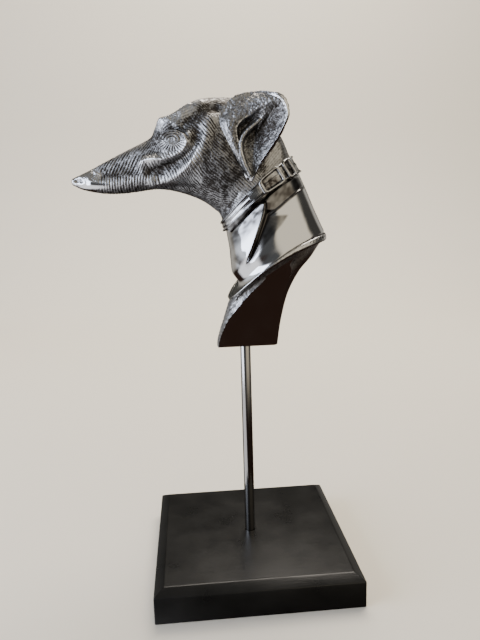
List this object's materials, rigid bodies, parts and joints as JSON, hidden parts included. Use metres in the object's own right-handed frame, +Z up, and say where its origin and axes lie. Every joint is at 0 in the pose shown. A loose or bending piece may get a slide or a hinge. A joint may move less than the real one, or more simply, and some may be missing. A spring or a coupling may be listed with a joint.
{
  "type": "greyhound bust ornament",
  "caption": "Polished cast-aluminium greyhound head and neck with a collar, held on a slim steel rod above a square black wooden block, as a shelf ornament.",
  "frame": {"origin": "middle of the block's underside, which rests on the shelf", "axes": "+Z up along the rod, -X the way the hound looks, +Y the hound's right; the XZ plane cuts the hound in two equal halves"},
  "size_m": [0.1963, 0.15, 0.3602],
  "materials": {
    "cast_aluminium": "polished, with engraved fur and darkened hollows",
    "polished_steel": "polished along its length",
    "black_lacquered_wood": "satin black lacquer"
  },
  "bodies": {
    "root": {"greyhound_bust": "cast_aluminium", "support_rod": "polished_steel", "base_block": "black_lacquered_wood"}
  },
  "joints": []
}
